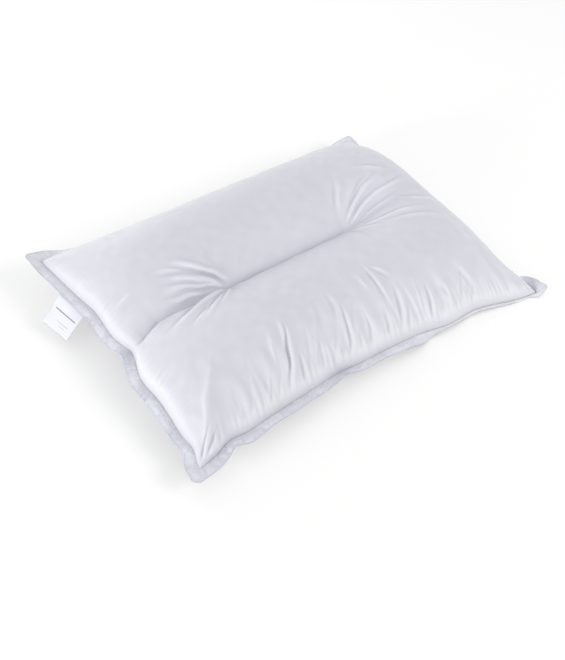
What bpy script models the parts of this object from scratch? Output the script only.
# A filled bed pillow with one sewn line along its middle, a flat double edge all round and a sewn-in label.
# Lengths are in metres. X runs along the pillow, Y from its front long side to its back one, and Z is up.
# The pillow lies flat: the underside of its two long lobes is on Z = 0.

import math

import bpy
import numpy as np

# Seam rectangle, where the upper and lower panels are stitched together.
# A corner's lift is the height that the filling holds it at.
CORNERS = (
    # name, side_x, side_y, x, y, lift
    ("back_left", -1, 1, -0.319, 0.226, 0.054),
    ("back_right", 1, 1, 0.317, 0.229, 0.034),
    ("front_right", 1, -1, 0.323, -0.240, 0.004),
    ("front_left", -1, -1, -0.323, -0.226, 0.027),
)
# The filling draws the middle of each side in, and holds it a little above the line between its corners.
SIDES = (
    # name, axis, sign, draw_in, lift
    ("left", 0, -1, 0.015, 0.003),
    ("right", 0, 1, 0.007, 0.005),
    ("front", 1, -1, 0.029, 0.005),
    ("back", 1, 1, 0.024, 0.000),
)
SIDE_ROUNDING = 2.3
# Short tucks where the seam is pulled in further, placed along the side from -1 to 1.
TUCKS = (
    # side, along, pull, half_length
    ("left", -0.02, 0.009, 0.026),
    ("left", 0.40, 0.005, 0.040),
    ("left", -0.27, -0.004, 0.026),
    ("left", -0.86, 0.006, 0.020),
    ("right", -0.72, 0.006, 0.040),
    ("front", -0.825, 0.006, 0.020),
    ("front", -0.22, 0.003, 0.030),
    ("front", 0.44, -0.006, 0.035),
    ("front", 0.64, 0.002, 0.025),
    ("front", 0.88, -0.006, 0.040),
)

# Filling
CROWN_RISE = 0.089
CROWN_LEAN = 0.05
CROWN_LONG_POWER = 3.3
CROWN_ACROSS_POWER = 2.7
CROWN_ROOT = 1.9
UNDERSIDE_DROP = 1.9

# Where the filling stands higher or lower than the even crown.
PLUMPS = (
    # x, y, reach_x, reach_y, rise
    (0.28, 0.06, 0.10, 0.13, 0.020),
    (0.31, 0.20, 0.05, 0.05, -0.006),
    (0.04, 0.17, 0.14, 0.06, 0.005),
    (-0.25, 0.18, 0.09, 0.06, -0.003),
)

# Sewn line that ties the two panels together
LINE_LEFT = -0.121
LINE_RIGHT = 0.114
LINE_Y = 0.006
NOTCH_Y = -0.008
LINE_TOP = 0.057
LINE_UNDER = 0.046
LINE_VALLEY = 0.050
LINE_VALLEY_UNDER = 0.034
UNDER_FLAT_CUT = 0.004
LINE_SOFT = 0.004
LEFT_FADE = 0.35
RIGHT_FADE = 0.13
RIGHT_SPREAD = 0.10
LEFT_SOFTEN = 0.02

# Flat edge outside the seam, two layers of cover cloth
EDGE_THICKNESS = 0.0016
EDGE_EAR = 1.30
EDGE_ROWS = 3
SEAM_GAP = 0.0007
FLOOR_GAP = 0.0003
EDGE_WAVES = (
    # crests round the edge, height, start in turns
    (23, 0.0016, 0.10),
    (37, 0.0010, 0.55),
    (9, 0.0014, 0.30),
)
# Width and tilt of the edge at stations round it, tilt in degrees above level.
EDGE_STATIONS = (
    # side, along, width, tilt
    ("front", -1.00, 0.0160, -6),
    ("front", -0.94, 0.0185, 2),
    ("front", -0.88, 0.0165, 8),
    ("front", -0.83, 0.0130, 16),
    ("front", -0.74, 0.0150, 0),
    ("front", -0.45, 0.0135, 4),
    ("front", -0.27, 0.0140, -2),
    ("front", -0.18, 0.0155, 26),
    ("front", -0.10, 0.0125, 0),
    ("front", 0.20, 0.0130, -12),
    ("front", 0.28, 0.0125, -36),
    ("front", 0.35, 0.0100, -90),
    ("front", 0.47, 0.0085, -105),
    ("front", 0.58, 0.0085, -105),
    ("front", 0.65, 0.0080, -98),
    ("front", 0.955, 0.0075, -98),
    ("front", 0.975, 0.0075, -40),
    ("front", 0.990, 0.0090, 50),
    ("front", 1.00, 0.0220, 76),
    ("right", -0.97, 0.0180, 68),
    ("right", -0.90, 0.0145, 22),
    ("right", -0.80, 0.0155, -46),
    ("right", 0.60, 0.0160, -40),
    ("right", 0.92, 0.0155, -20),
    ("back", 1.00, 0.0150, 6),
    ("back", 0.90, 0.0155, 0),
    ("back", 0.80, 0.0155, -24),
    ("back", 0.00, 0.0160, -26),
    ("back", -0.70, 0.0155, -20),
    ("back", -0.88, 0.0155, -10),
    ("left", 1.00, 0.0165, 20),
    ("left", 0.80, 0.0155, -2),
    ("left", 0.40, 0.0140, -8),
    ("left", 0.10, 0.0150, -12),
    ("left", -0.02, 0.0150, 4),
    ("left", -0.12, 0.0150, -12),
    ("left", -0.80, 0.0145, -8),
    ("left", -0.87, 0.0135, -4),
    ("left", -0.94, 0.0180, -6),
)

# Label: a satin tape folded double and caught under the edge
LABEL_ALONG = 0.555
LABEL_WIDTH = 0.058
LABEL_LENGTH = 0.046
LABEL_THICKNESS = 0.0012
LABEL_GAP = 0.0009
LABEL_START = 2 / 3
LABEL_SLOPE = -41
LABEL_BEND = 0.004
LABEL_STEPS = 8

# How finely the cloth is modelled
STEPS_LONG = 44
STEPS_ACROSS = 32
EDGE_CROWDING = 0.72


def crowd(t):
    """Grid positions from -1 to 1, closer together near the seam."""
    return (1 - EDGE_CROWDING) * t + EDGE_CROWDING * np.sin(np.pi / 2 * t)


def rounded(t, power):
    """A crown from 1 in the middle to 0 at the seam."""
    return np.clip(1 - np.abs(t) ** power, 0, None) ** (1 / CROWN_ROOT)


def middle_row(s):
    """Where the row through the sewn line lies across the pillow: it bends off to the notch on the left."""
    return LINE_Y * (1 - s**4) + NOTCH_Y * np.clip(-s, 0, 1) ** 4


def seam_surface(s, t):
    """The stitched rectangle at grid places s and t from -1 to 1: x, y and the seam's height."""
    x, y, z = 0, 0, 0
    for _, side_x, side_y, corner_x, corner_y, lift in CORNERS:
        share = (1 + side_x * s) * (1 + side_y * t) / 4
        x = x + share * corner_x
        y = y + share * corner_y
        z = z + share * lift
    y = y + middle_row(s) * (1 - t**2)
    for name, axis, sign, draw_in, lift in SIDES:
        across, along = (s, t) if axis == 0 else (t, s)
        reach = np.clip(sign * across, 0, None)
        pull = reach * draw_in * (1 - np.abs(along) ** SIDE_ROUNDING)
        half = CORNERS[1][4] if axis == 0 else CORNERS[1][3]
        for side, place, depth, half_length in TUCKS:
            if side == name:
                pull = pull + reach**3 * depth * np.exp(-(((along - place) * half / half_length) ** 2))
        z = z + reach**3 * lift * (1 - along**2)
        if axis == 0:
            x = x - sign * pull
        else:
            y = y - sign * pull
    return x, y, z


def plumpness(x, y):
    """The uneven part of the filling's height."""
    return sum(
        rise * np.exp(-(((x - px) / reach_x) ** 2) - ((y - py) / reach_y) ** 2)
        for px, py, reach_x, reach_y, rise in PLUMPS
    )


def valley(x, aside, width, soft):
    """How strongly the sewn line holds the cloth down at x and a distance aside of its row: 1 on the line."""
    past_left = np.clip(LINE_LEFT - x, 0, None)
    past_right = np.clip(x - LINE_RIGHT, 0, None)
    depth = np.exp(-past_left / LEFT_FADE - past_right / RIGHT_FADE)
    width = width + RIGHT_SPREAD * past_right
    soft = soft + RIGHT_SPREAD * past_right + LEFT_SOFTEN * past_left
    return depth * np.exp(-(np.sqrt(aside**2 + soft**2) - soft) / width)


def panels(s, t):
    """The upper and lower panels at grid places s and t, as two arrays of points."""
    x, y, seam = seam_surface(s, t)
    crown = rounded(s, CROWN_LONG_POWER) * rounded(t, CROWN_ACROSS_POWER)
    full = seam + CROWN_RISE * (1 + CROWN_LEAN * s) * crown + plumpness(x, y) * np.minimum(2 * crown, 1)
    aside = y - middle_row(s)
    held = valley(x, aside, LINE_VALLEY, LINE_SOFT)
    top = full * (1 - held) + np.minimum(LINE_TOP, full) * held
    drop = seam * (1 - np.clip(UNDERSIDE_DROP * crown, 0, 1))
    raised = LINE_UNDER * valley(x, aside, LINE_VALLEY_UNDER, LINE_SOFT) - UNDER_FLAT_CUT
    under = np.maximum(drop, np.clip(raised, 0, None))
    return np.stack([x, y, top], -1), np.stack([x, y, under], -1)


def ring_places():
    """Grid places round the seam, anticlockwise from above, starting at the front left corner."""
    long_side = crowd(np.linspace(-1, 1, STEPS_LONG + 1))
    short_side = crowd(np.linspace(-1, 1, STEPS_ACROSS + 1))
    s = np.concatenate([long_side[:-1], np.ones(STEPS_ACROSS), long_side[:0:-1], -np.ones(STEPS_ACROSS)])
    t = np.concatenate([-np.ones(STEPS_LONG), short_side[:-1], np.ones(STEPS_LONG), short_side[:0:-1]])
    return s, t


def ring_number(s, t):
    """A number from 0 to 8 that grows round the seam, two for each side."""
    return np.select([t <= -1, s >= 1, t >= 1], [s + 1, t + 3, 5 - s], 7 - t) % 8


def station_number(side, along):
    """The ring number of a station in the tables."""
    return {"front": along + 1, "right": along + 3, "back": 5 - along, "left": 7 - along}[side]


def edge_profile(number):
    """Width and tilt in degrees of the flat edge at ring numbers."""
    rows = sorted((station_number(side, along) % 8, width, tilt) for side, along, width, tilt in EDGE_STATIONS)
    places = [row[0] for row in rows]
    width = np.interp(number, places, [row[1] for row in rows], period=8)
    tilt = np.interp(number, places, [row[2] for row in rows], period=8)
    return width, tilt


def edge_frame(s, t):
    """Seam points with their outward directions in plan, and how far each reaches past a plain side."""
    x, y, z = seam_surface(s, t)
    rim = np.stack([x, y, z], -1)
    along = np.roll(rim, -1, 0) - np.roll(rim, 1, 0)
    outward = np.stack([along[:, 1], -along[:, 0], 0 * z], -1)
    outward /= np.linalg.norm(outward, axis=1)[:, None]
    corner = (np.abs(s) >= 1) & (np.abs(t) >= 1)
    return rim, outward, np.where(corner, EDGE_EAR, 1.0)


def edge_waves(number):
    """Small waves of the free outer edge."""
    lift = 0 * number
    for crests, height, start in EDGE_WAVES:
        lift = lift + height * np.sin(2 * np.pi * (crests * number / 8 + start))
    return lift


def edge_point(rim, outward, reach, number, share, above):
    """A point of the flat edge: share is 0 at the seam and 1 outside, above is the offset off its middle."""
    width, tilt = edge_profile(number)
    angle = np.radians(tilt)
    clear = SEAM_GAP + EDGE_THICKNESS / 2 * np.abs(np.sin(angle))
    far = clear + share * width * reach * np.cos(angle) - above * np.sin(angle)
    lift = share * width * np.sin(angle) + share**2 * edge_waves(number) + above * np.cos(angle)
    point = rim + outward * np.expand_dims(far, -1)
    lowest = FLOOR_GAP + (above + EDGE_THICKNESS / 2) * np.clip(np.cos(angle), 0, 1)
    point[..., 2] = np.maximum(point[..., 2] + lift, lowest)
    return point


def add_object(name, points, faces, colour, roughness):
    """A closed mesh object with its own material."""
    mesh = bpy.data.meshes.new(name)
    mesh.from_pydata([tuple(map(float, p)) for p in points], [], faces)
    mesh.update()
    mesh.shade_smooth()
    mesh.set_sharp_from_angle(angle=math.radians(50))
    material = bpy.data.materials.new(name + "_cloth")
    material.use_nodes = True
    shader = material.node_tree.nodes["Principled BSDF"]
    shader.inputs["Base Color"].default_value = (*colour, 1)
    shader.inputs["Roughness"].default_value = roughness
    shader.inputs["Metallic"].default_value = 0
    mesh.materials.append(material)
    piece = bpy.data.objects.new(name, mesh)
    bpy.context.scene.collection.objects.link(piece)
    return piece


def make_body():
    """The filled case: two panels that share the seam."""
    s, t = np.meshgrid(
        crowd(np.linspace(-1, 1, STEPS_LONG + 1)),
        crowd(np.linspace(-1, 1, STEPS_ACROSS + 1)),
        indexing="ij",
    )
    top, under = panels(s, t)
    count = top.shape[0] * top.shape[1]
    upper = np.arange(count).reshape(s.shape)
    inside = np.zeros(s.shape, bool)
    inside[1:-1, 1:-1] = True
    lower = upper.copy()
    lower[inside] = count + np.arange(inside.sum())
    points = np.vstack([top.reshape(-1, 3), under[inside]])
    faces = []
    for i in range(STEPS_LONG):
        for j in range(STEPS_ACROSS):
            corners = (i, j), (i + 1, j), (i + 1, j + 1), (i, j + 1)
            faces.append([int(upper[c]) for c in corners])
            faces.append([int(lower[c]) for c in reversed(corners)])
    return points, faces


def make_edge():
    """The flat double edge, a ring round the seam."""
    s, t = ring_places()
    number = ring_number(s, t)
    rim, outward, reach = edge_frame(s, t)
    shares = np.linspace(0, 1, EDGE_ROWS + 1)
    half = EDGE_THICKNESS / 2
    rows = [edge_point(rim, outward, reach, number, share, half) for share in shares]
    rows += [edge_point(rim, outward, reach, number, share, -half) for share in shares[::-1]]
    count = len(s)
    faces = []
    for row in range(len(rows)):
        below = (row + 1) % len(rows)
        for i in range(count):
            nxt = (i + 1) % count
            faces.append([row * count + i, below * count + i, below * count + nxt, row * count + nxt])
    return np.vstack(rows), faces


def label_columns(s, t):
    """Places along the ring, counted in ring points, where the columns of the label start."""
    left = np.flatnonzero(s <= -1)[1:]
    half = LABEL_WIDTH / 2 / CORNERS[0][4]
    first, last = np.interp([-LABEL_ALONG - half, half - LABEL_ALONG], -t[left], left)
    return np.concatenate([[first], np.arange(math.ceil(first), math.ceil(last)), [last]])


def make_label():
    """The folded tape: it starts under the edge, follows it outward and then bends down."""
    s, t = ring_places()
    number = ring_number(s, t)
    rim, outward, reach = edge_frame(s, t)
    columns = label_columns(s, t)
    ring = np.arange(len(s))

    def under_edge(share, offset):
        """A row of points under the edge, from the same ring points as the edge itself."""
        above = offset - EDGE_THICKNESS / 2 - LABEL_GAP - LABEL_THICKNESS / 2
        row = edge_point(rim, outward, reach, number, share, above)
        return np.stack([np.interp(columns, ring, row[:, k]) for k in range(3)], -1)

    onward = outward[round(columns.mean())]
    tilt = edge_profile(number[round(columns.mean())])[1]
    half = LABEL_THICKNESS / 2
    upper = [under_edge(LABEL_START, half), under_edge(1.0, half)]
    lower = [under_edge(LABEL_START, -half), under_edge(1.0, -half)]
    centre = (upper[-1] + lower[-1]) / 2
    step = LABEL_LENGTH / LABEL_STEPS
    for k in range(LABEL_STEPS):
        bend = 1 - math.exp(-(k + 1) * step / LABEL_BEND)
        angle = math.radians(tilt + (LABEL_SLOPE - tilt) * bend)
        centre = centre + step * (onward * math.cos(angle) + np.array([0, 0, math.sin(angle)]))
        normal = np.array([0, 0, math.cos(angle)]) - onward * math.sin(angle)
        upper.append(centre + normal * half)
        lower.append(centre - normal * half)
    return closed_strip(np.array(upper), np.array(lower))


def closed_strip(upper, lower):
    """A thin closed solid between two grids of points, rows outward and columns to the left hand."""
    rows, columns = upper.shape[:2]
    count = rows * columns
    grid = np.arange(count).reshape(rows, columns)
    faces = []
    for i in range(rows - 1):
        for j in range(columns - 1):
            square = [grid[i, j], grid[i + 1, j], grid[i + 1, j + 1], grid[i, j + 1]]
            faces.append([int(v) for v in square])
            faces.append([int(v) + count for v in reversed(square)])
    rim = [*grid[0, :-1], *grid[:-1, -1], *grid[-1, :0:-1], *grid[:0:-1, 0]]
    for a, b in zip(rim, rim[1:] + rim[:1]):
        faces.append([int(a), int(b), int(b) + count, int(a) + count])
    return np.vstack([upper.reshape(-1, 3), lower.reshape(-1, 3)]), faces


def centred(shapes):
    """Moves all the pieces together so that the middle of their common box is over the origin."""
    everything = np.vstack([points for points, _ in shapes])
    middle = (everything.min(0) + everything.max(0)) / 2
    middle[2] = everything[:, 2].min()
    return [(points - middle, faces) for points, faces in shapes]


def main():
    for old in list(bpy.data.objects):
        bpy.data.objects.remove(old, do_unlink=True)
    body, edge, label = centred([make_body(), make_edge(), make_label()])
    add_object("pillow_body", *body, colour=(0.80, 0.81, 0.85), roughness=0.75)
    add_object("edge_flange", *edge, colour=(0.72, 0.72, 0.77), roughness=0.8)
    add_object("care_label", *label, colour=(0.88, 0.88, 0.92), roughness=0.45)


main()
